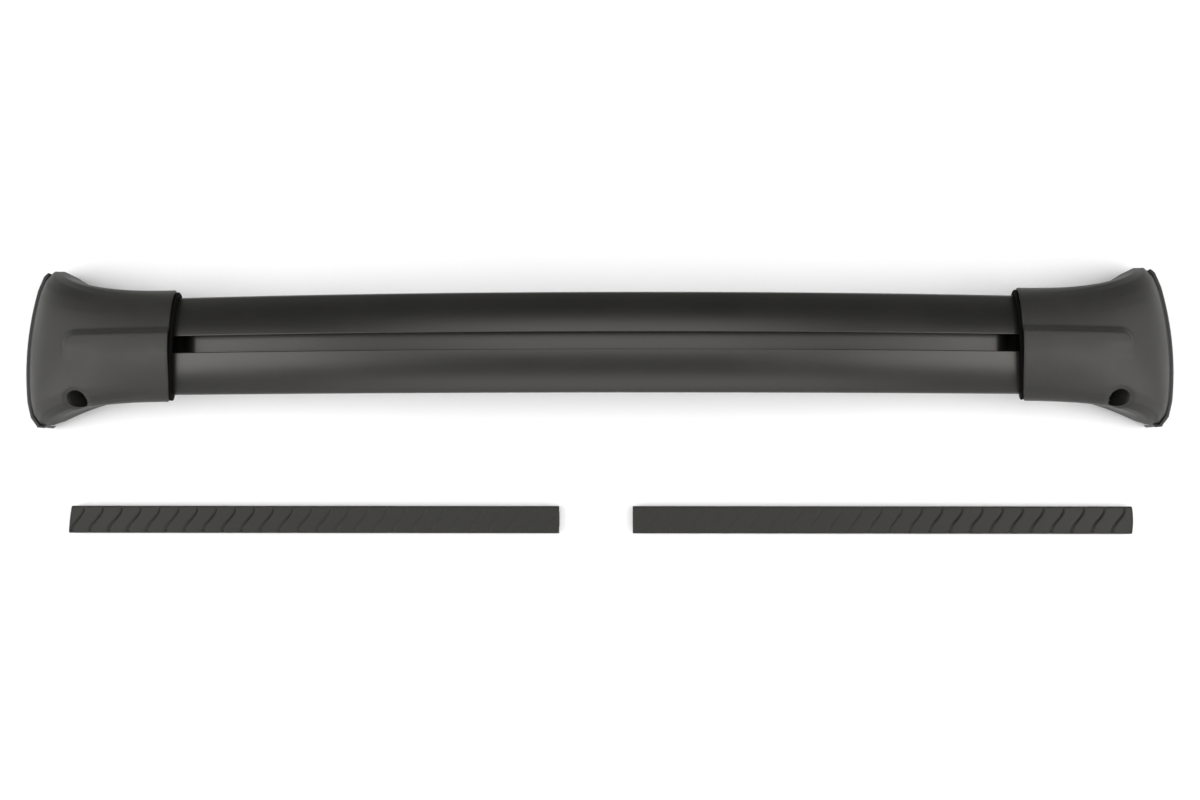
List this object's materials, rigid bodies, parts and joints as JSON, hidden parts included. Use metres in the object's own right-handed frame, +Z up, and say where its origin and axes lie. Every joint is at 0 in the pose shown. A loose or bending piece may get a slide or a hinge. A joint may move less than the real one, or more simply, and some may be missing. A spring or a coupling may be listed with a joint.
{
  "type": "cross bar",
  "caption": "bowed aerofoil cross bar with a T-slot on top, two flared clamp feet for raised side rails and two loose rubber infill strips",
  "frame": {"origin": "on the surface that the set rests on, at the middle of its footprint", "axes": "+X along the bar to the right-hand foot, +Y across the bar away from the loose strips, +Z up"},
  "size_m": [0.9658, 0.2228, 0.0916],
  "materials": {
    "bar_alloy": "satin black anodised aluminium extrusion",
    "cover_plastic": "fine-textured black moulded plastic",
    "lip_plastic": "black moulded edge trim",
    "black_rubber": "soft black rubber",
    "strip_rubber": "matt black rubber with a wave pattern",
    "cast_base": "black-coated die casting",
    "zinc_steel": "zinc-plated steel"
  },
  "bodies": {
    "frame": {"bar": "bar_alloy", "left_foot_cover": "cover_plastic", "right_foot_cover": "cover_plastic", "left_mouth_seal": "black_rubber", "right_mouth_seal": "black_rubber", "left_outer_lip": "lip_plastic", "right_outer_lip": "lip_plastic", "left_base_gasket": "black_rubber", "right_base_gasket": "black_rubber", "left_foot_base": "cast_base", "right_foot_base": "cast_base", "left_rail_pad": "black_rubber", "right_rail_pad": "black_rubber", "left_nut_plate": "zinc_steel", "right_nut_plate": "zinc_steel", "left_bar_screws": "zinc_steel", "right_bar_screws": "zinc_steel", "left_cover_screws": "zinc_steel", "right_cover_screws": "zinc_steel", "left_bolt_washer": "zinc_steel", "right_bolt_washer": "zinc_steel", "left_guide_pin": "zinc_steel", "right_guide_pin": "zinc_steel"},
    "left_bolt": {"left_clamp_bolt": "zinc_steel"},
    "left_jaw": {"left_clamp_jaw": "cast_base", "left_jaw_pad": "black_rubber", "left_barrel_nut": "zinc_steel"},
    "left_strip": {"left_infill_strip": "strip_rubber"},
    "right_bolt": {"right_clamp_bolt": "zinc_steel"},
    "right_jaw": {"right_clamp_jaw": "cast_base", "right_jaw_pad": "black_rubber", "right_barrel_nut": "zinc_steel"},
    "right_strip": {"right_infill_strip": "strip_rubber"}
  },
  "joints": [
    {"name": "left_bolt_turn", "type": "hinge", "parent": "frame", "child": "left_bolt", "pos_m": [-0.4082, 0.0122, 0.0254], "axis": [0.5547, 0.3742, -0.7431], "range_deg": [0, 2304.1]},
    {"name": "left_jaw_slide", "type": "slide", "parent": "frame", "child": "left_jaw", "axis": [-0.5547, -0.3742, 0.7431], "range_m": [0, 0.008]},
    {"name": "left_strip_lift", "type": "slide", "parent": "frame", "child": "left_strip", "axis": [0, 0, 1], "range_m": [0, 0.1]},
    {"name": "right_bolt_turn", "type": "hinge", "parent": "frame", "child": "right_bolt", "pos_m": [0.4082, 0.0122, 0.0254], "axis": [-0.5547, 0.3742, -0.7431], "range_deg": [0, 2304.1]},
    {"name": "right_jaw_slide", "type": "slide", "parent": "frame", "child": "right_jaw", "axis": [0.5547, -0.3742, 0.7431], "range_m": [0, 0.008]},
    {"name": "right_strip_lift", "type": "slide", "parent": "frame", "child": "right_strip", "axis": [0, 0, 1], "range_m": [0, 0.1]}
  ],
  "couplings": [
    {"joint": "left_bolt_turn", "follows": "left_jaw_slide", "rad_per_m": 5026.5},
    {"joint": "right_bolt_turn", "follows": "right_jaw_slide", "rad_per_m": 5026.5}
  ]
}
